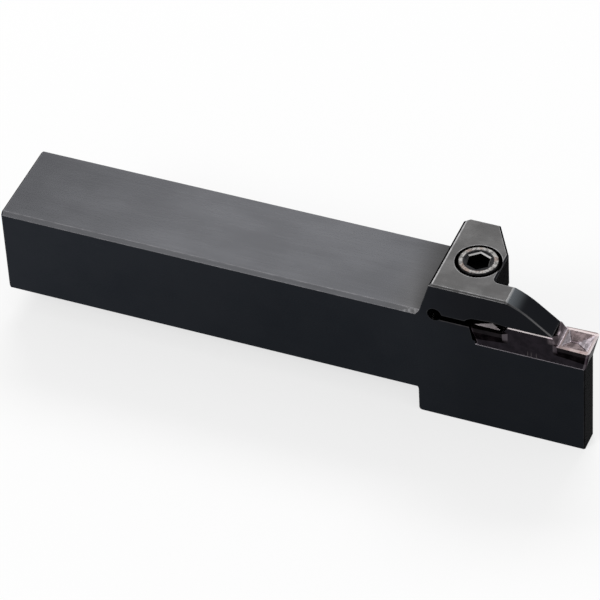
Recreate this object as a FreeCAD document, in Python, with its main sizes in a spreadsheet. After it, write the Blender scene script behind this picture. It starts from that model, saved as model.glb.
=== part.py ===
import FreeCAD, Part
import math
import os
import Sketcher

# Grooving tool holder: a square shank with a raised head, a flexing upper jaw that is
# pulled down by one cap screw, and a double-ended carbide insert gripped in its mouth.
# The shank lies along +X, the cutting edge is at its +X end, and the insert is on the -Y side.
# Heights are measured from the shank's underside, and each piece is then set down by half the
# shank, so that the origin is the middle of the shank's back end.

DRIVING_SIZES = {
    # Shank
    "shank_width": 25.0,
    "shank_height": 25.0,
    "shank_chamfer": 0.9,
    "shank_end_chamfer": 0.5,
    "overall_length": 150.0,
    # Head and foot
    "head_length": 42.9,
    "head_rise": 9.5,
    "foot_depth": 6.5,
    "foot_fillet": 1.2,
    "foot_corner": 0.8,
    "ramp_offset": 0.2,
    "ramp_angle": 16.7,
    "ramp_fillet": 2.5,
    "fillet_sink": 0.4,
    "head_chamfer": 0.45,
    "back_corner": 1.2,
    "slant_depth": 9.25,
    "slant_angle": 30.0,
    # Blade and jaw
    "blade_reach": 25.5,
    "blade_thickness": 6.0,
    "blade_setback": 1.3,
    "blade_chamfer": 0.3,
    "root_fillet": 1.2,
    "jaw_length": 20.7,
    "jaw_slope": 21.0,
    "knee_run": 3.7,
    "knee_radius": 22.0,
    "jaw_chamfer": 0.25,
    "nose_setback": 9.3,
    "nose_thickness": 0.2,
    # Mouth that holds the insert
    "seat_height": 19.2,
    "seat_clearance": 0.02,
    "rail_half_width": 2.5,
    "rail_crest": 0.5,
    "rail_rise": 0.9,
    "rail_relief": 0.12,
    "seat_chamfer": 0.2,
    "stop_clearance": 0.05,
    "back_gap": 0.7,
    "side_gap": 0.5,
    "grip_length": 20.3,
    "room_height": 0.35,
    "room_crest": 3.7,
    # Slit and keyhole that let the jaw flex
    "keyhole_diameter": 3.5,
    "keyhole_reach": 38.35,
    "slit_width": 1.5,
    "slit_drop": 0.9,
    # Clamp screw and its hole
    "screw_reach": 31.35,
    "screw_offset": 1.2,
    "screw_diameter": 6.0,
    "screw_length": 20.0,
    "screw_point": 0.8,
    "screw_head_diameter": 10.0,
    "screw_head_height": 6.0,
    "screw_head_round": 0.5,
    "socket_flats": 5.0,
    "socket_depth": 3.2,
    "socket_mouth": 0.12,
    "socket_mouth_margin": 0.35,
    "socket_lip": 0.28,
    "socket_turn": 39.0,
    "screw_clearance": 0.05,
    "screw_passage": 0.3,
    "screw_stand": 0.3,
    "counterbore_clearance": 0.65,
    "tapped_depth": 20.0,
    # Insert
    "insert_length": 29.25,
    "insert_width": 8.0,
    "insert_body_width": 6.4,
    "insert_body_height": 7.6,
    "insert_edge_chamfer": 0.2,
    "edge_height": 5.75,
    "front_relief": 12.0,
    "land_height": 1.25,
    "land_relief": 4.0,
    "side_relief": 14.0,
    "back_taper": 1.6,
    "corner_radius": 0.8,
    "rake_length": 7.9,
    "rake_rise": 1.3,
    "rake_fillet": 0.8,
    "neck_length": 1.2,
    "rim_side": 1.0,
    "rim_front": 0.7,
    "pit_length": 6.45,
    "pit_depth": 0.7,
    "pit_side_slope": 2.7,
    "pit_front_slope": 3.3,
    "pit_back_slope": 1.3,
    "pit_fillet": 1.6,
}

OVERSIZE = "10"

# Levels and lines that several features share, as formulas on the sheet
HALF_WIDTH = "Sizes.shank_width / 2"
HEAD_TOP = "(Sizes.shank_height + Sizes.head_rise)"
BEVEL_FOOT = "(Sizes.shank_height - Sizes.shank_chamfer)"
SHOULDER = "(Sizes.shank_height - Sizes.shank_chamfer - Sizes.fillet_sink)"
FOOT_SHOULDER = "(Sizes.shank_chamfer + Sizes.fillet_sink)"
HEAD_BACK = "(Sizes.overall_length - Sizes.head_length)"
RAMP_FOOT = f"({HEAD_BACK} + Sizes.ramp_offset)"
RAMP_TOP = f"({RAMP_FOOT} + ({HEAD_TOP} - {SHOULDER}) * tan(Sizes.ramp_angle))"
JAW_CORNER = "(Sizes.overall_length - Sizes.jaw_length)"
NOSE = "(Sizes.overall_length - Sizes.nose_setback)"
KNEE = f"({JAW_CORNER} + Sizes.knee_run)"
KNEE_TOP = f"({HEAD_TOP} - Sizes.knee_run * tan(Sizes.jaw_slope))"
BLADE_FRONT = "(Sizes.overall_length - Sizes.blade_setback)"
BLOCK_FRONT = "(Sizes.overall_length - Sizes.blade_reach)"
BLADE_FAR = f"(Sizes.blade_thickness - {HALF_WIDTH})"
BLADE_MIDDLE = f"(Sizes.blade_thickness / 2 - {HALF_WIDTH})"
SLANT_TOP = f"({HALF_WIDTH} - Sizes.slant_depth)"
SLANT_START = f"({BLOCK_FRONT} - Sizes.slant_depth * tan(Sizes.slant_angle))"
CREST = "(Sizes.seat_height + Sizes.rail_rise)"
INSERT_BOTTOM = "(Sizes.seat_height + Sizes.seat_clearance)"
GRIP = f"({INSERT_BOTTOM} + Sizes.insert_body_height + Sizes.seat_clearance)"
GRIP_START = "(Sizes.overall_length - Sizes.grip_length)"
NOSE_TOP = f"({GRIP} + Sizes.nose_thickness)"
KNEE_TURN = f"(atan(({KNEE_TOP} - {NOSE_TOP}) / ({NOSE} - {KNEE})) - Sizes.jaw_slope * 1 deg)"
KNEE_ROOM = f"(0.9 * Sizes.knee_run / cos(Sizes.jaw_slope) / tan({KNEE_TURN} / 2))"
SLIT_FLOOR = "(Sizes.shank_height - Sizes.slit_drop)"
SLIT_ROOF = f"({SLIT_FLOOR} + Sizes.slit_width)"
INSERT_REAR = "(Sizes.overall_length - Sizes.insert_length)"
REAR_LEAN = "tan(Sizes.front_relief)"
KEYHOLE = "(Sizes.overall_length - Sizes.keyhole_reach)"
SCREW_ACROSS = "(Sizes.overall_length - Sizes.screw_reach)"
SCREW_SEAT = f"({HEAD_TOP} + Sizes.screw_stand - Sizes.screw_head_height)"
MOUTH_FAR = f"({BLADE_MIDDLE} + Sizes.insert_width / 2 + Sizes.side_gap)"
MOUTH_NEAR = f"({BLADE_MIDDLE} - Sizes.insert_width / 2 - Sizes.side_gap)"
HALF_HEIGHT = "Sizes.shank_height / 2"


def make_sheet(doc):
    """Write the driving sizes into the sheet, one alias a row."""
    sheet = doc.addObject("Spreadsheet::Sheet", "Sizes")
    for row, (alias, value) in enumerate(DRIVING_SIZES.items(), start=1):
        sheet.set(f"A{row}", alias)
        sheet.set(f"B{row}", str(value))
        sheet.setAlias(f"B{row}", alias)
    doc.recompute()
    return sheet


def make_body(doc, label):
    body = doc.addObject("PartDesign::Body", label)
    body.Label = label
    return body


def place(body, across, along, up):
    """Set a piece by formulas, with heights counted from the shank's underside."""
    body.setExpression("Placement.Base.x", across)
    body.setExpression("Placement.Base.y", along)
    body.setExpression("Placement.Base.z", f"{up} - {HALF_HEIGHT}")


def new_sketch(body, name, plane, lift=None):
    """Start a sketch on an origin plane of its body, lifted along the plane's normal."""
    sketch = body.newObject("Sketcher::SketchObject", name)
    support = next(item for item in body.Origin.OriginFeatures if item.Role == plane)
    sketch.AttachmentSupport = [(support, "")]
    sketch.MapMode = "FlatFace"
    if lift:
        sketch.setExpression("AttachmentOffset.Base.z", lift)
    return sketch


def pin(sketch, item, point, kind, formula, guess):
    """Hold one coordinate of a point with a formula on the sheet."""
    index = sketch.addConstraint(Sketcher.Constraint(kind, -1, 1, item, point, guess))
    sketch.setExpression(f"Constraints[{index}]", formula)


def add_outline(sketch, corners):
    """Draw a closed outline whose corners are pairs of formulas."""
    first = sketch.GeometryCount
    count = len(corners)
    angles = [2 * math.pi * step / count for step in range(count)]
    guesses = [FreeCAD.Vector(math.cos(angle), math.sin(angle), 0) for angle in angles]
    for step in range(count):
        sketch.addGeometry(Part.LineSegment(guesses[step], guesses[(step + 1) % count]), False)
    for step in range(count):
        follower = first + (step + 1) % count
        sketch.addConstraint(Sketcher.Constraint("Coincident", first + step, 2, follower, 1))
    for step, (across, up) in enumerate(corners):
        pin(sketch, first + step, 1, "DistanceX", across, guesses[step].x)
        pin(sketch, first + step, 1, "DistanceY", up, guesses[step].y)


def add_circle(sketch, across, up, diameter):
    """Draw a circle from formulas for its centre and diameter."""
    item = sketch.addGeometry(Part.Circle(FreeCAD.Vector(1, 1, 0), FreeCAD.Vector(0, 0, 1), 1), False)
    pin(sketch, item, 3, "DistanceX", across, 1.0)
    pin(sketch, item, 3, "DistanceY", up, 1.0)
    index = sketch.addConstraint(Sketcher.Constraint("Diameter", item, 2.0))
    sketch.setExpression(f"Constraints[{index}]", diameter)


def add_feature(body, kind, name, sketch, length=None, middle=False, through=False, back=False):
    """Add a pad or pocket that takes its length from a formula."""
    feature = body.newObject(f"PartDesign::{kind}", name)
    feature.Profile = (sketch, [""])
    if middle:
        feature.SideType = "Symmetric"
    if through:
        feature.Type = "ThroughAll"
    if length:
        feature.setExpression("Length", length)
    feature.Reversed = back
    sketch.Visibility = False
    body.Tip = feature
    return feature


def add_loft(body, kind, name, sections):
    feature = body.newObject(f"PartDesign::{kind}", name)
    feature.Profile = (sections[0], [""])
    feature.Sections = [(section, [""]) for section in sections[1:]]
    feature.Ruled = True
    body.Tip = feature
    return feature


def edge_names(feature, test):
    """Name the edges of a feature's shape that pass a test."""
    edges = enumerate(feature.Shape.Edges, start=1)
    return [f"Edge{number}" for number, edge in edges if test(edge)]


def add_dressing(body, kind, name, size, test):
    """Round or bevel the edges of the body's tip that pass a test."""
    base = body.Tip
    base.Document.recompute()
    names = edge_names(base, test)
    if not names:
        raise RuntimeError(f"{name} finds no edge")
    feature = body.newObject(f"PartDesign::{kind}", name)
    feature.Base = (base, names)
    feature.setExpression("Radius" if kind == "Fillet" else "Size", size)
    body.Tip = feature
    return feature


def crosses(edge, across, up):
    """Tell whether an edge runs along Y at this place in the side view."""
    box = edge.BoundBox
    straight = box.XLength < 1e-4 and box.ZLength < 1e-4
    return straight and abs(box.XMin - across) < 1e-4 and abs(box.ZMin - up) < 1e-4


def build_holder(doc, sheet):
    """Make the shank, head, blade and jaw, which are one piece of steel."""
    body = make_body(doc, "holder_body")
    add_head(body, sheet)
    add_shank(body)
    cut_far_side(body, sheet)
    bevel_head(body, sheet)
    cut_mouth(body)
    cut_slit(body)
    drill_screw_hole(body)
    place(body, "0", "0", "0")
    return body


def add_head(body, sheet):
    """Pad the side view of the head, its foot, the blade and the jaw's sloping back."""
    stub = f"({HEAD_BACK} - 3 * Sizes.ramp_fillet)"
    sill = "(Sizes.seat_height + Sizes.edge_height)"
    side_view = new_sketch(body, "head_side_view", "XZ_Plane")
    add_outline(side_view, [
        (HEAD_BACK, "-Sizes.foot_depth"),
        (BLADE_FRONT, "-Sizes.foot_depth"),
        (BLADE_FRONT, sill),
        (NOSE, sill),
        (NOSE, NOSE_TOP),
        (KNEE, KNEE_TOP),
        (JAW_CORNER, HEAD_TOP),
        (RAMP_TOP, HEAD_TOP),
        (RAMP_FOOT, SHOULDER),
        (stub, SHOULDER),
        (stub, FOOT_SHOULDER),
        (HEAD_BACK, FOOT_SHOULDER),
    ])
    add_feature(body, "Pad", "head", side_view, "Sizes.shank_width", middle=True)
    back = sheet.get("overall_length") - sheet.get("head_length")
    foot = back + sheet.get("ramp_offset")
    sink = sheet.get("shank_chamfer") + sheet.get("fillet_sink")
    shoulder = sheet.get("shank_height") - sink
    top = sheet.get("shank_height") + sheet.get("head_rise")
    knee = sheet.get("overall_length") - sheet.get("jaw_length") + sheet.get("knee_run")
    knee_top = top - sheet.get("knee_run") * math.tan(math.radians(sheet.get("jaw_slope")))
    depth = sheet.get("foot_depth")
    add_dressing(body, "Fillet", "ramp_fillet", "Sizes.ramp_fillet",
                 lambda edge: crosses(edge, foot, shoulder))
    add_dressing(body, "Fillet", "foot_fillet", "Sizes.foot_fillet",
                 lambda edge: crosses(edge, back, sink))
    add_dressing(body, "Fillet", "foot_corner", "Sizes.foot_corner",
                 lambda edge: crosses(edge, back, -depth))
    add_dressing(body, "Fillet", "jaw_knee", f"min(Sizes.knee_radius; {KNEE_ROOM})",
                 lambda edge: crosses(edge, knee, knee_top))
    add_dressing(body, "Chamfer", "back_corner", "Sizes.back_corner",
                 lambda edge: leans_far(edge, sheet.get("shank_width") / 2))


def leans_far(edge, side):
    """Tell whether an edge is the far edge of the head's steep back."""
    box = edge.BoundBox
    steep = box.XLength > 1 and box.ZLength > 2 * box.XLength
    return steep and box.YMin > side - 1e-4


def add_shank(body):
    """Pad the bevelled square section of the shank up to the head."""
    low, high = "Sizes.shank_chamfer", BEVEL_FOOT
    side, inner = HALF_WIDTH, f"({HALF_WIDTH} - Sizes.shank_chamfer)"
    section = new_sketch(body, "shank_section", "YZ_Plane")
    add_outline(section, [
        (inner, "0"), (side, low), (side, high), (inner, "Sizes.shank_height"),
        (f"-{inner}", "Sizes.shank_height"), (f"-{side}", high), (f"-{side}", low), (f"-{inner}", "0"),
    ])
    add_feature(body, "Pad", "shank", section, f"{RAMP_FOOT} + Sizes.ramp_fillet")
    add_dressing(body, "Chamfer", "shank_end", "Sizes.shank_end_chamfer",
                 lambda edge: edge.BoundBox.XMax < 1e-4)


def cut_far_side(body, sheet):
    """Mill the far side away, which leaves the thin blade and the slanted block."""
    plan = new_sketch(body, "far_side_plan", "XY_Plane")
    outside = f"({BLADE_FRONT} + {OVERSIZE})"
    beyond = f"({HALF_WIDTH} + {OVERSIZE})"
    add_outline(plan, [
        (outside, BLADE_FAR), (outside, beyond), (SLANT_START, beyond),
        (SLANT_START, HALF_WIDTH), (BLOCK_FRONT, SLANT_TOP), (BLOCK_FRONT, BLADE_FAR),
    ])
    add_feature(body, "Pocket", "far_side", plan, middle=True, through=True)
    front = sheet.get("overall_length") - sheet.get("blade_reach")
    far = sheet.get("blade_thickness") - sheet.get("shank_width") / 2
    add_dressing(body, "Fillet", "blade_root", "Sizes.root_fillet",
                 lambda edge: stands_at(edge, front, far))


def stands_at(edge, across, along):
    """Tell whether an edge is upright at this place in the plan."""
    box = edge.BoundBox
    upright = box.XLength < 1e-4 and box.YLength < 1e-4
    return upright and abs(box.XMin - across) < 1e-4 and abs(box.YMin - along) < 1e-4


def bevel_head(body, sheet):
    """Bevel the head's upper edges, the jaw's sloping edges and the blade's front edges."""
    body.Document.recompute()
    box = body.Tip.Shape.BoundBox
    crease = sheet.get("overall_length") - sheet.get("jaw_length")
    lowest = sheet.get("seat_height") + sheet.get("edge_height")

    def on_top(edge):
        return edge.BoundBox.ZMin > box.ZMax - 1e-4 and not crosses(edge, crease, box.ZMax)

    def slopes(edge):
        span = edge.BoundBox
        sloping = span.XLength > 0.1 and span.ZLength > 0.1 and span.YLength < 1e-4
        return sloping and span.XMin > crease - 1e-4 and span.ZMin > lowest

    def fronts(edge):
        return edge.BoundBox.XMin > box.XMax - 1e-4 and edge.BoundBox.YLength < 1e-4

    add_dressing(body, "Chamfer", "head_edges", "Sizes.head_chamfer", on_top)
    add_dressing(body, "Chamfer", "jaw_edges", "Sizes.jaw_chamfer", slopes)
    add_dressing(body, "Chamfer", "blade_edges", "Sizes.blade_chamfer", fronts)


def rail_outline(middle, base, crest, sign, half, top):
    """List the corners of a rail from its near foot over its crest to its far foot."""
    return [
        (f"{middle} {'-' if sign > 0 else '+'} {half}", base),
        (f"{middle} {'-' if sign > 0 else '+'} {top}", crest),
        (f"{middle} {'+' if sign > 0 else '-'} {top}", crest),
        (f"{middle} {'+' if sign > 0 else '-'} {half}", base),
    ]


def cut_mouth(body):
    """Cut the insert's mouth: a ridged seat below, a ridged jaw above, and room behind."""
    near, far = f"-{HALF_WIDTH}", BLADE_FAR
    bevel = "Sizes.seat_chamfer"
    below = "(Sizes.seat_height - Sizes.seat_chamfer)"
    jaw_crest = f"({GRIP} - Sizes.rail_rise)"
    half, top = "Sizes.rail_half_width", "Sizes.rail_crest"
    section = new_sketch(body, "mouth_section", "YZ_Plane", BLADE_FRONT)
    seat = [(MOUTH_NEAR, below), (near, below), (f"{near} + {bevel}", "Sizes.seat_height")]
    seat += rail_outline(BLADE_MIDDLE, "Sizes.seat_height", CREST, 1, half, top)
    seat += [(f"{far} - {bevel}", "Sizes.seat_height"), (far, below), (MOUTH_FAR, below)]
    jaw = [(MOUTH_FAR, GRIP)] + rail_outline(BLADE_MIDDLE, GRIP, jaw_crest, -1, half, top)
    jaw += [(MOUTH_NEAR, GRIP)]
    add_outline(section, seat + jaw)
    rear_at_crest = f"({INSERT_REAR} + (Sizes.edge_height - Sizes.rail_rise) * {REAR_LEAN})"
    stop = f"({rear_at_crest} - Sizes.stop_clearance)"
    add_feature(body, "Pocket", "mouth", section, f"{BLADE_FRONT} - {stop}")
    cut_rear_room(body, rear_at_crest)


def cut_rear_room(body, rear_at_crest):
    """Cut the room for the insert's spare end, from the near side only."""
    wall_foot = f"({rear_at_crest} - Sizes.back_gap)"
    wall_top = f"({wall_foot} - ({SLIT_FLOOR} - {CREST}) * {REAR_LEAN})"
    roof = f"({GRIP} + Sizes.room_height)"
    room = new_sketch(body, "rear_room_side_view", "XZ_Plane", f"{HALF_WIDTH} + {OVERSIZE}")
    add_outline(room, [
        (wall_foot, CREST),
        (GRIP_START, CREST),
        (GRIP_START, GRIP),
        (f"({GRIP_START} - Sizes.room_crest)", roof),
        (f"({wall_top} + 0.7)", GRIP),
        (f"({wall_top} - 0.5)", f"({SLIT_ROOF} + 0.6)"),
        (f"({wall_top} - 1.1)", SLIT_ROOF),
        (f"({wall_top} - 1.1)", SLIT_FLOOR),
        (wall_top, SLIT_FLOOR),
    ])
    add_feature(body, "Pocket", "rear_room", room, f"{HALF_WIDTH} + {OVERSIZE} + {MOUTH_FAR}")


def cut_slit(body):
    """Cut the slit and the keyhole through the head, so that the jaw can flex."""
    slit = new_sketch(body, "slit_side_view", "XZ_Plane")
    add_outline(slit, [
        (KEYHOLE, SLIT_FLOOR), (BLOCK_FRONT, SLIT_FLOOR),
        (BLOCK_FRONT, SLIT_ROOF), (KEYHOLE, SLIT_ROOF),
    ])
    add_feature(body, "Pocket", "slit", slit, middle=True, through=True)
    keyhole = new_sketch(body, "keyhole_side_view", "XZ_Plane")
    middle = f"({SLIT_FLOOR} + Sizes.keyhole_diameter / 2 - 0.45)"
    add_circle(keyhole, KEYHOLE, middle, "Sizes.keyhole_diameter")
    add_feature(body, "Pocket", "keyhole", keyhole, middle=True, through=True)


def drill_screw_hole(body):
    """Sink the screw's counterbore, then drill its passage and its tapped hole."""
    along = "-Sizes.screw_offset"
    holes = (
        ("counterbore", "Sizes.screw_head_diameter + 2 * Sizes.counterbore_clearance",
         f"{HEAD_TOP} - {SCREW_SEAT}"),
        ("passage", "Sizes.screw_diameter + 2 * Sizes.screw_passage", f"{HEAD_TOP} - {SLIT_FLOOR}"),
        ("tapped_hole", "Sizes.screw_diameter + 2 * Sizes.screw_clearance",
         f"{HEAD_TOP} - {SLIT_FLOOR} + Sizes.tapped_depth"),
    )
    for name, diameter, depth in holes:
        ring = new_sketch(body, f"{name}_plan", "XY_Plane", HEAD_TOP)
        add_circle(ring, SCREW_ACROSS, along, diameter)
        add_feature(body, "Pocket", name, ring, depth)


def build_screw(doc):
    """Make the hexagon socket cap screw that pulls the jaw down."""
    body = make_body(doc, "clamp_screw")
    head, shank = "Sizes.screw_head_diameter / 2", "Sizes.screw_diameter / 2"
    height, length = "Sizes.screw_head_height", "Sizes.screw_length"
    point = "Sizes.screw_point"
    profile = new_sketch(body, "screw_profile", "XZ_Plane")
    add_outline(profile, [
        ("0", f"-{length}"), (f"{shank} - {point}", f"-{length}"), (shank, f"{point} - {length}"),
        (shank, "0"), (head, "0"), (head, height), ("0", height),
    ])
    turn_profile(body, "screw_blank", profile)
    add_dressing(body, "Fillet", "head_round", "Sizes.screw_head_round", is_head_rim)
    cut_socket(body)
    place(body, SCREW_ACROSS, "-Sizes.screw_offset", f"{SCREW_SEAT} + Sizes.seat_clearance")
    return body


def is_head_rim(edge):
    """Tell whether an edge is the upper rim of the screw's head."""
    box = edge.BoundBox
    return box.ZLength < 1e-4 and box.ZMin > 1 and box.XLength > 5


def turn_profile(body, name, profile):
    """Turn a half profile round the body's upright axis."""
    feature = body.newObject("PartDesign::Revolution", name)
    feature.Profile = (profile, [""])
    feature.ReferenceAxis = (profile, ["V_Axis"])
    feature.Angle = 360
    body.Tip = feature
    return feature


def hexagon(body, name, lift, flats):
    """Draw the socket's hexagon, turned as the screw stopped, at this level."""
    plan = new_sketch(body, name, "XY_Plane", lift)
    radius = f"({flats}) / 2 / cos(30)"
    turns = [f"(Sizes.socket_turn + {60 * step})" for step in range(6)]
    add_outline(plan, [(f"{radius} * cos{turn}", f"{radius} * sin{turn}") for turn in turns])
    return plan


def cut_socket(body):
    """Cut the round recess at the socket's mouth, its bevelled lip and the hexagonal socket."""
    top, mouth = "Sizes.screw_head_height", "Sizes.socket_mouth"
    flats, lip = "Sizes.socket_flats", "Sizes.socket_lip"
    socket = hexagon(body, "socket_plan", top, flats)
    add_feature(body, "Pocket", "socket", socket, "Sizes.socket_depth")
    recess = new_sketch(body, "mouth_plan", "XY_Plane", top)
    add_circle(recess, "0", "0", f"{flats} / cos(30) + 2 * Sizes.socket_mouth_margin")
    add_feature(body, "Pocket", "mouth_recess", recess, mouth)
    upper = hexagon(body, "lip_top", f"{top} - {mouth}", f"{flats} + 2 * {lip}")
    lower = hexagon(body, "lip_foot", f"{top} - {mouth} - {lip}", flats)
    add_loft(body, "SubtractiveLoft", "socket_lip", [upper, lower])


def build_insert(doc):
    """Make the double-ended grooving insert, with one cutting end worked and then mirrored."""
    body = make_body(doc, "grooving_insert")
    half = "Sizes.insert_length / 2"
    back = f"({half} - Sizes.rake_length)"
    shoulder = f"({back} - Sizes.rake_rise)"
    foot = f"({half} - Sizes.edge_height * tan(Sizes.front_relief))"
    tall, edge = "Sizes.insert_body_height", "Sizes.edge_height"
    side_view = new_sketch(body, "insert_side_view", "XZ_Plane")
    add_outline(side_view, [
        (f"-{foot}", "0"), (foot, "0"), (half, edge), (back, edge), (shoulder, tall),
        (f"-{shoulder}", tall), (f"-{back}", edge), (f"-({half})", edge),
    ])
    add_feature(body, "Pad", "insert_bar", side_view, "Sizes.insert_body_width", middle=True)
    add_dressing(body, "Fillet", "rake_fillet", "Sizes.rake_fillet", is_rake_corner)
    cheeks = add_cheeks(body, half, back)
    pit = cut_pit(body, half)
    mirror = body.newObject("PartDesign::Mirrored", "other_end")
    mirror.Originals = cheeks + [pit]
    support = next(item for item in body.Origin.OriginFeatures if item.Role == "YZ_Plane")
    mirror.MirrorPlane = (support, [""])
    body.Tip = mirror
    add_dressing(body, "Fillet", "insert_corners", "Sizes.corner_radius", is_insert_corner)
    add_dressing(body, "Fillet", "pit_valleys", "Sizes.pit_fillet", is_pit_valley)
    cut_long_grooves(body)
    place(body, f"Sizes.overall_length - {half}", BLADE_MIDDLE, INSERT_BOTTOM)
    return body


def is_rake_corner(edge):
    """Tell whether an edge is the inner corner between the rake and the body's rise."""
    box = edge.BoundBox
    inside = 4 < abs(box.XMin) < 12
    level = box.ZLength < 1e-4 and box.XLength < 1e-4
    return inside and level and box.ZMin < DRIVING_SIZES["insert_body_height"] - 1e-3


def is_insert_corner(edge):
    """Tell whether an edge is an upright corner at either cutting end."""
    box = edge.BoundBox
    upright = box.ZLength > 0.2 and box.XLength < box.ZLength and box.YLength < box.ZLength
    outer = min(abs(box.XMin), abs(box.XMax)) > 10
    return upright and outer


def is_pit_valley(edge):
    """Tell whether an edge lies down in a chip breaker, inside its rim."""
    box = edge.BoundBox
    rim = DRIVING_SIZES["edge_height"]
    inside = DRIVING_SIZES["insert_width"] / 2 - DRIVING_SIZES["rim_side"] + 1e-3
    back = DRIVING_SIZES["insert_length"] / 2 - DRIVING_SIZES["rake_length"]
    sunk = rim - DRIVING_SIZES["pit_depth"] - 1e-3 < box.ZMin < rim - 0.1
    ends = min(abs(box.XMin), abs(box.XMax)) > back
    return sunk and ends and box.ZMax < rim + 1e-3 and max(-box.YMin, box.YMax) < inside


def cheek_section(body, name, place, half_width, spread=True):
    """Draw the cutting end's section, wide at the edge and relieved down to the body's side."""
    side = "(Sizes.insert_body_width / 2)"
    edge = "Sizes.edge_height"
    land = f"({edge} - Sizes.land_height)"
    land_half = f"({half_width} - Sizes.land_height * tan(Sizes.land_relief))"
    drop = f"(({land_half} - {side}) / tan(Sizes.side_relief))"
    section = new_sketch(body, name, "YZ_Plane", place)
    corners = [
        (half_width if spread else side, edge),
        (land_half if spread else side, land),
        (side, f"{land} - {drop}"),
    ]
    others = [(f"-{across}", up) for across, up in reversed(corners)]
    add_outline(section, corners + others)
    return section


def add_cheeks(body, half, back):
    """Loft the widened cutting end forward from the neck, and slope its front back."""
    widest = "(Sizes.insert_width / 2)"
    neck = f"({back} - Sizes.neck_length)"
    taper = f"({widest} - Sizes.rake_length * tan(Sizes.back_taper))"
    start = cheek_section(body, "neck_section", neck, taper, spread=False)
    middle = cheek_section(body, "cheek_section", back, taper)
    end = cheek_section(body, "edge_section", half, widest)
    loft = add_loft(body, "AdditiveLoft", "cutting_end", [start, middle, end])
    wedge = new_sketch(body, "front_relief_side_view", "XZ_Plane")
    foot = f"({half} - Sizes.edge_height * tan(Sizes.front_relief))"
    beyond = f"({half} + {OVERSIZE})"
    add_outline(wedge, [(half, "Sizes.edge_height"), (foot, "0"), (beyond, "0"),
                        (beyond, "Sizes.edge_height")])
    relief = add_feature(body, "Pocket", "front_relief", wedge, middle=True, through=True)
    return [loft, relief]


def cut_pit(body, half):
    """Sink the chip breaker: a shallow four-sided pit behind the cutting edge."""
    front = f"({half} - Sizes.rim_front)"
    rear = f"({front} - Sizes.pit_length)"
    side = "(Sizes.insert_width / 2 - Sizes.rim_side)"
    floor_front = f"({front} - Sizes.pit_front_slope)"
    floor_rear = f"({rear} + Sizes.pit_back_slope)"
    floor_side = f"({side} - Sizes.pit_side_slope)"
    rim = new_sketch(body, "pit_rim", "XY_Plane", "Sizes.edge_height")
    add_outline(rim, [(rear, f"-{side}"), (front, f"-{side}"), (front, side), (rear, side)])
    floor = new_sketch(body, "pit_floor", "XY_Plane", "Sizes.edge_height - Sizes.pit_depth")
    add_outline(floor, [(floor_rear, f"-{floor_side}"), (floor_front, f"-{floor_side}"),
                        (floor_front, floor_side), (floor_rear, floor_side)])
    return add_loft(body, "SubtractiveLoft", "chip_breaker", [rim, floor])


def cut_long_grooves(body):
    """Cut the ridged seat's and jaw's grooves and bevel the long edges."""
    side, bevel = "Sizes.insert_body_width / 2", "Sizes.insert_edge_chamfer"
    tall = "Sizes.insert_body_height"
    half, top = "Sizes.rail_half_width", "(Sizes.rail_crest + Sizes.rail_relief)"
    rise = "(Sizes.rail_rise + Sizes.rail_relief)"
    section = new_sketch(body, "long_grooves_section", "YZ_Plane")
    add_outline(section, rail_outline("0", "0", rise, 1, half, top))
    add_outline(section, rail_outline("0", tall, f"({tall} - {rise})", -1, half, top))
    for sign in ("", "-"):
        inner = f"{sign}({side} - {bevel})"
        outer = f"{sign}({side})"
        add_outline(section, [(inner, "0"), (outer, "0"), (outer, bevel)])
        add_outline(section, [(inner, tall), (outer, tall), (outer, f"{tall} - {bevel}")])
    add_feature(body, "Pocket", "long_grooves", section, middle=True, through=True)


def check_and_write(doc, bodies):
    """Stop on any faulty object, then write each piece to its own file."""
    doc.recompute()
    for item in doc.Objects:
        if "Invalid" in item.State or "Error" in item.State:
            raise RuntimeError(f"{item.Name} failed: {item.State}")
    os.makedirs("parts", exist_ok=True)
    for body in bodies:
        if body.Shape.isNull() or not body.Shape.isValid():
            raise RuntimeError(f"{body.Label} has no sound shape")
        body.Shape.exportStep(f"parts/{body.Label}.step")
        print(body.Label, len(body.Shape.Solids), "solid,", round(body.Shape.Volume, 1), "mm3")


def main():
    doc = FreeCAD.newDocument("GroovingToolHolder")
    sheet = make_sheet(doc)
    bodies = [build_holder(doc, sheet), build_screw(doc), build_insert(doc)]
    check_and_write(doc, bodies)


main()
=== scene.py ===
import math
import bpy
from mathutils import Matrix, Vector


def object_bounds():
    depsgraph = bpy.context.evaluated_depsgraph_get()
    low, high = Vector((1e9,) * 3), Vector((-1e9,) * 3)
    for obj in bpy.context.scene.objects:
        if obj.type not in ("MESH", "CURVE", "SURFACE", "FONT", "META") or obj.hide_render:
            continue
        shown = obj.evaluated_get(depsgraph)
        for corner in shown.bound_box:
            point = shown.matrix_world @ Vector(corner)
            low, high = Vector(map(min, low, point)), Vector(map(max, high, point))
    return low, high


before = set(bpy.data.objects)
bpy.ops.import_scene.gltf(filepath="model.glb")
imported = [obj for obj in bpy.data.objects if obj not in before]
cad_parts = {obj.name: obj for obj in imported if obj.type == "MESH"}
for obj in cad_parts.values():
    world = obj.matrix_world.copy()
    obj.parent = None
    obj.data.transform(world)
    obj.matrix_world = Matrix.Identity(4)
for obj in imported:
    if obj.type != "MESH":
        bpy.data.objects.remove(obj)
cad_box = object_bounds()

# The tool lies along +X with its insert on the -Y side, and the studio is built round it.
# Finishes tell places on the tool in millimetres. A range given backwards makes a mask that
# falls as the value grows.

MM_PER_METRE = 1000.0


# Small tools for the node trees

def start_material(name):
    """Make an empty node material and return it with its tree and its surface shader."""
    material = bpy.data.materials.new(name)
    material.use_nodes = True
    tree = material.node_tree
    tree.nodes.clear()
    output = tree.nodes.new("ShaderNodeOutputMaterial")
    shader = tree.nodes.new("ShaderNodeBsdfPrincipled")
    tree.links.new(shader.outputs["BSDF"], output.inputs["Surface"])
    return material, tree, shader


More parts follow.
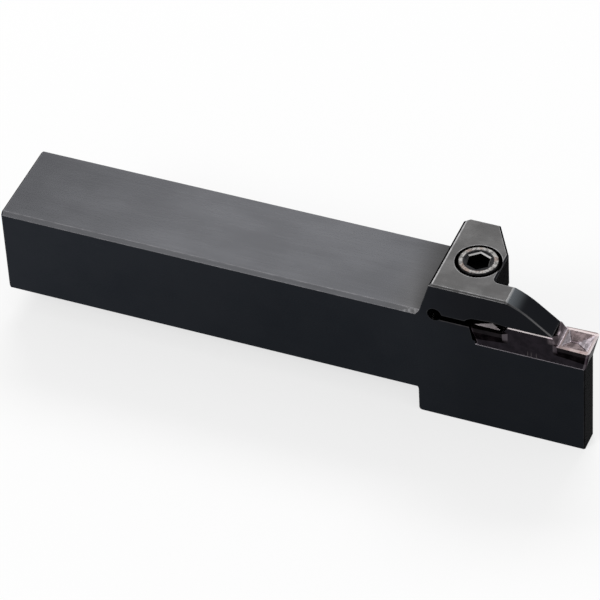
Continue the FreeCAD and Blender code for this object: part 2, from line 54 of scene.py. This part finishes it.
def feed(tree, value, socket):
    """Link another node's result to a socket, or set the socket to a plain value."""
    if isinstance(value, bpy.types.NodeSocket):
        tree.links.new(value, socket)
    else:
        socket.default_value = value


def add_node(tree, kind, **inputs):
    """Add a node and feed the inputs that are named."""
    node = tree.nodes.new(kind)
    for name, value in inputs.items():
        feed(tree, value, node.inputs[name.replace("_", " ")])
    return node


def calculate(tree, operation, *values):
    """Add a maths node and return its result."""
    node = tree.nodes.new("ShaderNodeMath")
    node.operation = operation
    for value, socket in zip(values, node.inputs):
        feed(tree, value, socket)
    return node.outputs[0]


def times(tree, *factors):
    """Multiply masks and numbers."""
    product = factors[0]
    for factor in factors[1:]:
        product = calculate(tree, "MULTIPLY", product, factor)
    return product


def most(tree, *masks):
    """Give the highest of several masks."""
    highest = masks[0]
    for mask in masks[1:]:
        highest = calculate(tree, "MAXIMUM", highest, mask)
    return highest


def add_shares(tree, first, first_share, second, second_share):
    """Add two values, each by its share."""
    return calculate(tree, "ADD", times(tree, first, first_share),
                     times(tree, second, second_share))


def size_of(tree, value):
    """Give a value without its sign."""
    return calculate(tree, "ABSOLUTE", value)


def opposite(tree, mask):
    """Turn a mask inside out."""
    return calculate(tree, "SUBTRACT", 1.0, mask)


def remap(tree, value, low, high, out_low=0.0, out_high=1.0, smooth=True):
    """Map a value from one range to another and stop at its ends, softly if smooth."""
    node = tree.nodes.new("ShaderNodeMapRange")
    node.interpolation_type = "SMOOTHSTEP" if smooth else "LINEAR"
    for number, socket in zip((value, low, high, out_low, out_high), node.inputs):
        feed(tree, number, socket)
    return node.outputs[0]


def band(tree, value, rise, fall):
    """Mask a band of values, by the range where it rises and the range where it falls."""
    return times(tree, remap(tree, value, *rise), remap(tree, value, *fall))


def blend_colour(tree, factor, first, second):
    """Mix two colours, each a node's result or a plain RGB."""
    node = tree.nodes.new("ShaderNodeMix")
    node.data_type = "RGBA"
    feed(tree, factor, node.inputs[0])

    # A mix node has sockets for every kind of data, and these are the ones for colours
    for colour, socket in ((first, node.inputs[6]), (second, node.inputs[7])):
        feed(tree, (*colour, 1.0) if isinstance(colour, tuple) else colour, socket)
    return node.outputs[2]


def shade(tree, colour, factor):
    """Darken or lighten a colour by a factor."""
    node = tree.nodes.new("ShaderNodeVectorMath")
    node.operation = "SCALE"
    feed(tree, colour, node.inputs[0])
    feed(tree, factor, node.inputs["Scale"])
    return node.outputs[0]


def cloud(tree, feature, detail=3.0, rough=0.6, stretch=(1.0, 1.0, 1.0)):
    """Give soft noise whose blotches are about this many millimetres across."""
    place = tree.nodes.new("ShaderNodeTexCoord").outputs["Object"]
    stretched = add_node(tree, "ShaderNodeMapping", Vector=place, Scale=stretch)
    noise = add_node(tree, "ShaderNodeTexNoise", Vector=stretched.outputs["Vector"],
                     Scale=MM_PER_METRE / feature, Detail=detail, Roughness=rough)
    return noise.outputs["Fac"]


def place_parts(tree):
    """Give the place in the row frame in millimetres, as three parts."""
    place = tree.nodes.new("ShaderNodeTexCoord").outputs["Object"]
    parts = add_node(tree, "ShaderNodeSeparateXYZ", Vector=place)
    return [calculate(tree, "MULTIPLY", part, MM_PER_METRE) for part in parts.outputs]


def facing(tree):
    """Give the surface's own direction in the row frame, as three signed parts."""
    true = tree.nodes.new("ShaderNodeNewGeometry")
    parts = add_node(tree, "ShaderNodeSeparateXYZ", Vector=true.outputs["Normal"])
    return parts.outputs


def edge_lines(tree, radius, low, high):
    """Find crisp edges: where a rounded normal leaves the true one."""
    rounded = add_node(tree, "ShaderNodeBevel", Radius=radius)
    rounded.samples = 10
    true = tree.nodes.new("ShaderNodeNewGeometry")
    compare = tree.nodes.new("ShaderNodeVectorMath")
    compare.operation = "DOT_PRODUCT"
    feed(tree, rounded.outputs["Normal"], compare.inputs[0])
    feed(tree, true.outputs["Normal"], compare.inputs[1])
    turned = calculate(tree, "SUBTRACT", 1.0, compare.outputs["Value"])
    return remap(tree, turned, low, high)


def openness(tree, reach, low, high):
    """Tell open surfaces from hollows and inner corners."""
    node = add_node(tree, "ShaderNodeAmbientOcclusion", Distance=reach)
    node.samples = 6
    node.only_local = True
    return remap(tree, node.outputs["AO"], low, high)


def add_bump(tree, shader, height, strength, distance):
    """Raise the surface a little by a height, over a distance in metres."""
    bump = add_node(tree, "ShaderNodeBump", Strength=strength, Distance=distance, Height=height)
    feed(tree, bump.outputs["Normal"], shader.inputs["Normal"])


# The holder's colours, several of them painted highlight and painted shade; a pair is the dark and
# the light end of a mottling or a gradient
BLUISH_OXIDE = (0.0138, 0.0156, 0.0192), (0.0168, 0.0186, 0.0222)
PLAIN_OXIDE = (0.0134, 0.0142, 0.0170), (0.0162, 0.0170, 0.0200)
RUBBED_AND_LIT_SHANK = (0.0306, 0.0310, 0.0332)
RUBBED_AND_LIT_HEAD = (0.0298, 0.0294, 0.0294)
CREASE_HIGHLIGHT = (0.30, 0.30, 0.30)
SLOPE_HIGHLIGHT = (0.088, 0.096, 0.104)
JAW_EDGE_HIGHLIGHT = (0.040, 0.040, 0.042), (0.100, 0.098, 0.100)
SEAT_EDGE_HIGHLIGHT = (0.026, 0.023, 0.026)
FRONT_EDGE_SHADE = (0.0055, 0.0055, 0.0058)
WORN_AND_LIT_EDGE = (0.060, 0.059, 0.062), (0.105, 0.104, 0.106)
BACK_HIGHLIGHT = (0.095, 0.094, 0.095)
LIP_HIGHLIGHT = (0.050, 0.047, 0.050)
HOLDER_GRAZING_TINT = (0.32, 0.32, 0.32, 1.0)


def oxide_colour(tree, tone, x, z):
    """The oxide is lighter towards the shank's end, and darker on the head and blade."""
    to_shank_end = remap(tree, x, 5.0, 80.0, 1.36, 1.03)
    to_head = remap(tree, x, 104.0, 124.0, 1.0, 0.80)
    above_blade = remap(tree, z, 11.0, 15.0, 1.0, 0.88)
    on_head = times(tree, remap(tree, x, 100.0, 122.0), remap(tree, z, 8.0, 13.0))
    colour = blend_colour(tree, on_head, blend_colour(tree, tone, *BLUISH_OXIDE),
                          blend_colour(tree, tone, *PLAIN_OXIDE))
    return shade(tree, colour, times(tree, to_shank_end, to_head, above_blade))


def rubbing_light_and_shade(tree, x, y, z):
    """Level faces show wear from handling and clamping, most in the middle of the shank, with
    smudges and patina; painted shade darkens them next to the head's ramp.
    """
    smudge = cloud(tree, 11.0, rough=0.55, stretch=(0.45, 1.0, 1.0))
    smudge = remap(tree, smudge, 0.35, 0.65, 0.93, 1.07)
    # Painted shade: the level faces darken next to the head's ramp
    next_to_ramp = remap(tree, y, -12.0, 12.0, 105.0, 96.0, smooth=False)
    shaded = remap(tree, x, next_to_ramp, 108.3, 1.0, 0.55)
    shaded = most(tree, shaded, remap(tree, z, 12.8, 13.0))
    patina = remap(tree, cloud(tree, 6.0), 0.38, 0.62,
                   remap(tree, x, 106.0, 112.0, 1.0, 0.90), remap(tree, x, 106.0, 112.0, 1.0, 1.13))
    from_shank_end = remap(tree, x, 0.0, 48.0, 0.80, 1.04)
    to_head = remap(tree, x, 70.0, 102.0, 1.0, 0.89)
    return times(tree, from_shank_end, to_head, shaded, smudge, patina)


def blackened_steel():
    """Burnished black steel, greyer on its seating faces and bright along its bevels, partly from
    wear and partly as painted highlight, with painted shade on some bevels and painted highlight
    lines.
    """
    material, tree, shader = start_material("blackened_steel_finish")
    x, y, z = place_parts(tree)
    nx, ny, nz = facing(tree)
    broad = cloud(tree, 38.0, detail=2.0, rough=0.55)
    mottled = cloud(tree, 5.0, detail=4.0)
    lines = cloud(tree, 0.35, detail=2.0, rough=0.5, stretch=(0.02, 1.0, 1.0))
    grain = cloud(tree, 0.22)
    tone = remap(tree, add_shares(tree, broad, 0.65, mottled, 0.35), 0.3, 0.7)

    # Level faces and bevels take a lighter steel colour, partly wear and partly painted highlight
    steely_and_lit = blend_colour(tree, remap(tree, x, 96.0, 112.0), RUBBED_AND_LIT_SHANK, RUBBED_AND_LIT_HEAD)
    rubbed_light_and_shade = shade(tree, steely_and_lit, rubbing_light_and_shade(tree, x, y, z))
    level = remap(tree, nz, remap(tree, x, 110.0, 114.0, 0.70, 0.955), 0.995)
    steel = blend_colour(tree, level, oxide_colour(tree, tone, x, z), rubbed_light_and_shade)

    # The clamping jaw's slope gets a painted highlight, brightest next to its crease
    slope = times(tree, band(tree, nz, (0.84, 0.90), (0.985, 0.96)), remap(tree, nx, 0.1, 0.2))
    painted_sheen = blend_colour(tree, remap(tree, x, 129.2, 130.0), CREASE_HIGHLIGHT, SLOPE_HIGHLIGHT)
    steel = blend_colour(tree, times(tree, slope, remap(tree, x, 134.2, 129.4)), steel, painted_sheen)

    # Bevels: filed edges of the upper faces, the head's back edge and the blade's front edge,
    # painted lighter as painted highlight, less so above the shank, with a painted highlight line
    # along the jaw's edge and a dimmer one at the seat's edge; the blade's front edge is painted
    # dark as painted shade
    tilt = times(tree, ny, nz)
    upper = times(tree, remap(tree, tilt, -0.30, -0.37), remap(tree, nz, 0.0, 0.1))
    rear = remap(tree, times(tree, nx, nz), -0.38, -0.46)
    front = remap(tree, times(tree, nx, size_of(tree, ny)), 0.40, 0.48)
    scuffs = remap(tree, cloud(tree, 0.9, rough=0.7), 0.42, 0.62, 0.8, 1.9)
    shank_corner = times(tree, remap(tree, x, 100.5, 104.5), remap(tree, z, 13.0, 12.8))
    scuffed = most(tree, 1.0, times(tree, shank_corner, scuffs))
    shank_to_head = remap(tree, z, 12.8, 13.2, 0.72, 0.34)
    uneven = remap(tree, tone, 0.0, 1.0, 0.9, 1.1)
    filed_light_and_shade = shade(tree, steely_and_lit, times(tree, shank_to_head, uneven, scuffed))
    jaw_edge_highlight = blend_colour(tree, remap(tree, x, 131.5, 138.0), *JAW_EDGE_HIGHLIGHT)
    filed_light_and_shade = blend_colour(tree, remap(tree, x, 129.5, 131.0), filed_light_and_shade, jaw_edge_highlight)
    filed_light_and_shade = blend_colour(tree, remap(tree, z, 7.5, 6.9), filed_light_and_shade, SEAT_EDGE_HIGHLIGHT)
    steel = blend_colour(tree, most(tree, upper, rear, front), steel, filed_light_and_shade)
    steel = blend_colour(tree, front, steel, FRONT_EDGE_SHADE)

    # Thin bright lines where edges have lost their oxide, also painted highlight, strongest on
    # upward edges
    patchy = remap(tree, cloud(tree, 2.2, detail=4.0, rough=0.65), 0.36, 0.62, 0.3, 1.0)
    edge = edge_lines(tree, 0.00040, 0.003, 0.020)
    in_the_open = openness(tree, 0.0015, 0.42, 0.62)
    upward = remap(tree, nz, -0.2, 0.4, 0.15, 1.0)
    worn_and_lit = blend_colour(tree, remap(tree, z, 12.7, 13.0), *WORN_AND_LIT_EDGE)
    colour = blend_colour(tree, times(tree, edge, patchy, in_the_open, upward, 0.6), steel, worn_and_lit)

    # The head's top has a painted highlight line along its back edge
    head_back_highlight = times(tree, remap(tree, x, 111.42, 111.18), remap(tree, nz, 0.95, 0.99),
                      remap(tree, z, 21.9, 21.96), remap(tree, patchy, 0.3, 1.0, 0.55, 1.0))
    colour = blend_colour(tree, head_back_highlight, colour, BACK_HIGHLIGHT)

    # The near side has a painted highlight line too, along the slit's lower edge
    lip_highlight = times(tree, band(tree, z, (11.26, 11.36), (11.75, 11.65)),
                band(tree, x, (112.4, 113.6), (121.8, 121.4)), remap(tree, ny, -0.9, -0.97),
                remap(tree, patchy, 0.3, 1.0, 0.6, 1.0))
    colour = blend_colour(tree, lip_highlight, colour, LIP_HIGHLIGHT)
    feed(tree, colour, shader.inputs["Base Color"])
    shader.inputs["Metallic"].default_value = 1.0
    shader.inputs["Specular Tint"].default_value = HOLDER_GRAZING_TINT

    # The far and the lower bevels are never touched and keep a matt oxide
    polish = calculate(tree, "ADD", remap(tree, tone, 0.0, 1.0, 0.268, 0.284),
                       remap(tree, lines, 0.3, 0.7, -0.01, 0.01))
    matt = remap(tree, tilt, 0.30, 0.37, 0.0, 0.5)
    feed(tree, calculate(tree, "ADD", polish, matt), shader.inputs["Roughness"])
    add_bump(tree, shader, add_shares(tree, lines, 0.6, grain, 0.4), 0.055, 0.00002)
    return material


# The screw's colours, one of them a painted highlight, and the place of its upright axis along X
# and Y
SCREW_AXIS = (118.65, -1.2)
SCREW_RING = (0.040, 0.039, 0.038), (0.150, 0.146, 0.142)
SCREW_STAIN = (0.075, 0.052, 0.042)
SCREW_SPOT = (0.012, 0.011, 0.011)
SCREW_PHOSPHATE = (0.006, 0.006, 0.0065), (0.012, 0.012, 0.0125)
SOCKET_LIP_HIGHLIGHT = (0.40, 0.395, 0.39)
SCREW_GRAZING_TINT = (0.3, 0.3, 0.3, 1.0)


def from_screw_axis(tree, x, y):
    """Give the distance from the screw's axis in millimetres."""
    squares = [calculate(tree, "POWER", calculate(tree, "SUBTRACT", part, middle), 2.0)
               for part, middle in zip((x, y), SCREW_AXIS)]
    return calculate(tree, "SQRT", calculate(tree, "ADD", *squares))


def screw_steel():
    """Phosphated screw steel: its flat ring is polished bright by use, with stains, and its
    socket's mouth has a painted highlight; the rest stays dark.
    """
    material, tree, shader = start_material("screw_steel_finish")
    x, y, _ = place_parts(tree)
    _, ny, nz = facing(tree)
    mottled = cloud(tree, 0.9, detail=4.0, rough=0.75)
    spots = cloud(tree, 0.42)
    stain = remap(tree, cloud(tree, 3.2), 0.48, 0.62)
    tone = remap(tree, mottled, 0.40, 0.60)

    # Turned rings run round the head
    radius = from_screw_axis(tree, x, y)
    rings = calculate(tree, "SINE", times(tree, radius, 26.0))
    turned = remap(tree, rings, -1.0, 1.0, 0.88, 1.10, smooth=False)
    bright = blend_colour(tree, tone, *SCREW_RING)
    bright = blend_colour(tree, times(tree, stain, 0.6), bright, SCREW_STAIN)
    bright = shade(tree, bright, turned)
    bright = blend_colour(tree, remap(tree, spots, 0.56, 0.66), bright, SCREW_SPOT)

    # The socket's bevelled mouth gets a painted highlight where it faces the near side
    ring = times(tree, remap(tree, nz, 0.90, 0.97), remap(tree, radius, 3.60, 3.85))
    lip_highlight = times(tree, band(tree, nz, (0.55, 0.62), (0.80, 0.74)), remap(tree, radius, 3.4, 3.3),
                remap(tree, ny, 0.1, -0.3, 0.08, 1.0))
    colour = blend_colour(tree, ring, blend_colour(tree, tone, *SCREW_PHOSPHATE), bright)
    colour = blend_colour(tree, lip_highlight, colour, SOCKET_LIP_HIGHLIGHT)
    feed(tree, colour, shader.inputs["Base Color"])
    shader.inputs["Metallic"].default_value = 1.0
    shader.inputs["Specular Tint"].default_value = SCREW_GRAZING_TINT
    feed(tree, remap(tree, mottled, 0.3, 0.7, 0.30, 0.42), shader.inputs["Roughness"])
    add_bump(tree, shader, add_shares(tree, spots, 0.7, rings, 0.12), 0.25, 0.00003)
    return material


# The insert's colours, several of them painted light and painted shade
FLANK = (0.0138, 0.0122, 0.0148), (0.0212, 0.0182, 0.0222)
RELIEF_SHADE = (0.0130, 0.0118, 0.0128), (0.0190, 0.0168, 0.0180)
NECK_HIGHLIGHT = (0.095, 0.083, 0.092)
FAR_AND_NEAR_SLOPES = (0.180, 0.142, 0.146), (0.222, 0.182, 0.185)
END_SLOPES = (0.195, 0.174, 0.188)
SLOPE_SPOT = (0.080, 0.052, 0.048)
VALLEY_SHADE = (0.030, 0.022, 0.026)
RIM = (0.080, 0.060, 0.058), (0.135, 0.112, 0.110)
CUTTING_EDGE_HIGHLIGHT = (0.110, 0.098, 0.100)
FAR_RIM_HIGHLIGHT = (0.152, 0.134, 0.133)
INSERT_BEVEL_HIGHLIGHT = (0.112, 0.102, 0.102)
SCRATCH = (0.100, 0.090, 0.092)
BEHIND_CUTTING_END_LIT = (0.080, 0.066, 0.073), (0.125, 0.104, 0.114)
SPARE_PIT_SHADE = (0.020, 0.017, 0.019)
LIGHT_POOL = (0.80, 0.71, 0.74), (0.92, 0.84, 0.86)
INSERT_GRAZING_TINT = (0.25, 0.24, 0.25, 1.0)

# Where the scratches stand along the tool, and the ridge of the painted pool of light in the spare
# pit
SCRATCHES = (134.76, 135.63, 136.88)
LIGHT_POOL_RIDGE = 125.1


def chip_breaker_colour(tree, streak, nx, ny, z):
    """The chip breaker's slopes are mottled: violet at its ends, dull pink along its sides, each
    slope's tone set by which way it faces, as painted light and shade.
    """
    to_an_end = calculate(tree, "SUBTRACT", size_of(tree, nx), size_of(tree, ny))
    sides = blend_colour(tree, remap(tree, ny, -0.05, 0.05), *FAR_AND_NEAR_SLOPES)
    face = blend_colour(tree, remap(tree, to_an_end, -0.06, 0.06), sides, END_SLOPES)
    spots = remap(tree, cloud(tree, 0.7), 0.54, 0.68, 0.0, 0.5)
    face = blend_colour(tree, spots, face, SLOPE_SPOT)

    # Its valleys and its floor are painted darker, as painted shade
    valley_shade = times(tree, remap(tree, size_of(tree, to_an_end), 0.11, 0.04),
                   remap(tree, z, 12.42, 12.3))
    valley_shade = most(tree, valley_shade, remap(tree, z, 11.83, 11.79))
    face = blend_colour(tree, times(tree, valley_shade, 0.85), face, VALLEY_SHADE)
    return shade(tree, face, streak)


def rim_colour(tree, tone, x, y):
    """The rim is painted with light and shade: painted highlights along its far side and its
    cutting edge, dimmer at its back and at its far outer edge.
    """
    lit = times(tree, remap(tree, y, -5.60, -6.05, 0.42, 0.86),
                remap(tree, x, 141.6, 146.0, 0.40, 0.95))
    land = shade(tree, blend_colour(tree, tone, *RIM), lit)
    land = blend_colour(tree, remap(tree, x, 149.35, 149.65), land, CUTTING_EDGE_HIGHLIGHT)
    far_side = times(tree, band(tree, y, (-6.75, -6.45), (-5.72, -6.02)),
                     remap(tree, tone, 0.0, 1.0, 0.75, 1.0))
    return blend_colour(tree, far_side, land, FAR_RIM_HIGHLIGHT)


def coated_carbide():
    """Sintered carbide under a thin violet-brown coating, painted paler on its upper faces, rims
    and bevels than on its flanks, as painted light and shade.
    """
    material, tree, shader = start_material("coated_carbide_finish")
    x, y, z = place_parts(tree)
    nx, ny, nz = facing(tree)
    mottled = cloud(tree, 2.5, detail=4.0)
    grain = cloud(tree, 0.12)
    tone = remap(tree, mottled, 0.35, 0.65)
    streak = remap(tree, cloud(tree, 1.3, stretch=(1.0, 0.5, 1.0)), 0.38, 0.62, 0.55, 1.25)

    # Flanks, their relief and the necks behind the cutting ends; the relief, facing down, is
    # painted a little darker as painted shade
    coat = blend_colour(tree, remap(tree, nz, -0.02, -0.08), blend_colour(tree, tone, *FLANK),
                        blend_colour(tree, tone, *RELIEF_SHADE))
    # The necks' slanting sides get a painted highlight
    neck_highlight = remap(tree, size_of(tree, times(tree, nx, ny)), 0.12, 0.30)
    coat = blend_colour(tree, times(tree, neck_highlight, 0.85), coat, NECK_HIGHLIGHT)

    # Upper faces, rims and the bevels along the insert, painted much paler than the flanks as
    # painted light
    upper = remap(tree, nz, 0.55, 0.80)
    coat = blend_colour(tree, upper, coat, chip_breaker_colour(tree, streak, nx, ny, z))
    rim = times(tree, remap(tree, nz, 0.990, 0.998), remap(tree, z, 12.42, 12.46))
    coat = blend_colour(tree, rim, coat, rim_colour(tree, tone, x, y))
    # The bevels along the insert get a painted highlight line
    bevel = times(tree, remap(tree, times(tree, size_of(tree, ny), nz), 0.42, 0.48),
                  remap(tree, size_of(tree, nx), 0.2, 0.1))
    coat = blend_colour(tree, bevel, coat, INSERT_BEVEL_HIGHLIGHT)

    # Three short scratches low on the near side
    marks = [remap(tree, size_of(tree, calculate(tree, "SUBTRACT", x, place)), 0.14, 0.05)
             for place in SCRATCHES]
    scratch = times(tree, most(tree, *marks), remap(tree, z, 8.8, 7.7),
                    remap(tree, ny, -0.8, -0.95))
    coat = blend_colour(tree, times(tree, scratch, 0.55), coat, SCRATCH)

    # Behind the front cutting end the coating is mottled and painted paler as painted light, most
    # on its slanting faces
    behind = times(tree, band(tree, x, (139.4, 140.2), (142.8, 142.3)),
                   remap(tree, z, 12.1, 12.8))
    slanting = times(tree, remap(tree, nz, 0.55, 0.88, 1.0, 1.7),
                     remap(tree, nz, 0.90, 0.99, 1.0, 0.40))
    pale = shade(tree, blend_colour(tree, tone, *BEHIND_CUTTING_END_LIT), times(tree, slanting, streak))
    coat = blend_colour(tree, behind, coat, pale)

    # The rear chip breaker, never used, is painted dark as painted shade, with a painted pool of
    # light in a lens on its near slope, made less metallic there
    pit = times(tree, remap(tree, x, 128.3, 127.8), remap(tree, nz, 0.45, 0.70),
                opposite(tree, rim))
    from_ridge = calculate(tree, "SUBTRACT", x, LIGHT_POOL_RIDGE)
    front_side = calculate(tree, "ADD", y, times(tree, from_ridge, 0.84))
    back_side = calculate(tree, "ADD", y, times(tree, from_ridge, -0.65))
    light_pool_mask = times(tree, pit, remap(tree, front_side, -9.50, -9.80),
                  remap(tree, back_side, -9.55, -9.80), remap(tree, y, -12.15, -11.90))
    light_pool = shade(tree, blend_colour(tree, tone, *LIGHT_POOL),
                   remap(tree, streak, 0.55, 1.25, 0.85, 1.06))
    coat = blend_colour(tree, times(tree, pit, 0.9), coat, SPARE_PIT_SHADE)
    coat = blend_colour(tree, light_pool_mask, coat, light_pool)
    feed(tree, coat, shader.inputs["Base Color"])
    feed(tree, remap(tree, light_pool_mask, 0.0, 1.0, 1.0, 0.1), shader.inputs["Metallic"])
    shader.inputs["Specular Tint"].default_value = INSERT_GRAZING_TINT
    feed(tree, remap(tree, mottled, 0.3, 0.7, 0.24, 0.33), shader.inputs["Roughness"])
    add_bump(tree, shader, grain, 0.15, 0.00002)
    return material


def dress(node, material):
    """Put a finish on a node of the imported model."""
    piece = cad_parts[node]
    for slot in piece.material_slots:
        slot.material = material
    if not piece.material_slots:
        piece.data.materials.append(material)


# Studio, in metres
WHITE = (1.0, 1.0, 1.0, 1.0)
FLOOR_HALF_WIDTH = 6.0
FLOOR_GAP = 0.0001
PAPER = (0.300, 0.300, 0.300), (0.307, 0.307, 0.307)
PAPER_GLOW = 0.685
SKY_LIGHT = 0.5
TOOL_MIDDLE = Vector((0.09, 0.0, 0.0))
SOFTBOX_DISTANCE = 2.2
SOFTBOX_RADIANCE = 7.0
CAMERA_PLACE = Vector((0.38405, -0.68747, 0.68261))
CAMERA_RIGHT = Vector((0.92603, 0.3747, -0.04555))
CAMERA_BACK = Vector((0.3055, -0.67312, 0.67348))
SENSOR_WIDTH = 36.0
FOCAL_LENGTH = 255.14


def seen_directly(tree):
    """Tell what is seen, or mirrored by the tool, from what only lights it."""
    path = tree.nodes.new("ShaderNodeLightPath")
    return most(tree, path.outputs["Is Camera Ray"], path.outputs["Is Glossy Ray"],
                path.outputs["Is Transmission Ray"])


def build_floor(level):
    """Lay a plain pale floor under the tool."""
    half = FLOOR_HALF_WIDTH
    corners = [(-half, -half, level), (half, -half, level),
               (half, half, level), (-half, half, level)]
    mesh = bpy.data.meshes.new("studio_floor")
    mesh.from_pydata(corners, [], [(0, 1, 2, 3)])
    floor = bpy.data.objects.new("studio_floor", mesh)
    bpy.context.scene.collection.objects.link(floor)
    material, tree, shader = start_material("studio_floor_finish")
    paper = blend_colour(tree, cloud(tree, 900.0, detail=2.0, rough=0.55), *PAPER)
    feed(tree, paper, shader.inputs["Base Color"])
    shader.inputs["Roughness"].default_value = 1.0
    shader.inputs["Specular IOR Level"].default_value = 0.0
    shader.inputs["Emission Color"].default_value = WHITE
    glow = remap(tree, seen_directly(tree), 0.0, 1.0, 0.0, PAPER_GLOW, smooth=False)
    feed(tree, glow, shader.inputs["Emission Strength"])
    mesh.materials.append(material)


def build_sky():
    """Light the room evenly, with a white background for what looks past the floor."""
    world = bpy.data.worlds.new("studio_sky")
    bpy.context.scene.world = world
    world.use_nodes = True
    tree = world.node_tree
    tree.nodes.clear()
    strength = remap(tree, seen_directly(tree), 0.0, 1.0, SKY_LIGHT, 1.0, smooth=False)
    background = add_node(tree, "ShaderNodeBackground", Color=WHITE, Strength=strength)
    output = tree.nodes.new("ShaderNodeOutputWorld")
    tree.links.new(background.outputs["Background"], output.inputs["Surface"])


def add_softbox(name, towards, width, height):
    """Hang a flat softbox in this direction from the tool's middle."""
    lamp = bpy.data.lights.new(name, "AREA")
    lamp.shape = "RECTANGLE"
    lamp.size, lamp.size_y = width, height
    lamp.energy = SOFTBOX_RADIANCE * math.pi * width * height
    direction = Vector(towards).normalized()
    holder = bpy.data.objects.new(name, lamp)
    turn = direction.to_track_quat("Z", "Y").to_matrix().to_4x4()
    place = TOOL_MIDDLE + direction * SOFTBOX_DISTANCE
    holder.matrix_world = Matrix.Translation(place) @ turn
    bpy.context.scene.collection.objects.link(holder)


def place_camera():
    """Look at the tool from far off, above its near side."""
    lens = bpy.data.cameras.new("camera")
    lens.sensor_width = SENSOR_WIDTH
    lens.lens = FOCAL_LENGTH
    lens.clip_start, lens.clip_end = 0.05, 50.0
    camera = bpy.data.objects.new("camera", lens)
    right = CAMERA_RIGHT.normalized()
    back = CAMERA_BACK.normalized()
    turn = Matrix((right, back.cross(right), back)).transposed().to_4x4()
    camera.matrix_world = Matrix.Translation(CAMERA_PLACE) @ turn
    bpy.context.scene.collection.objects.link(camera)
    bpy.context.scene.camera = camera


dress("holder_body", blackened_steel())
dress("clamp_screw", screw_steel())
dress("grooving_insert", coated_carbide())

build_floor(cad_box[0][2] - FLOOR_GAP)
build_sky()
add_softbox("back_softbox", (-0.184, 0.673, 0.716), 1.5, 0.70)
add_softbox("front_softbox", (-0.3055, -0.673, 0.6725), 0.8, 0.8)
place_camera()
bpy.context.scene.view_settings.view_transform = "Standard"
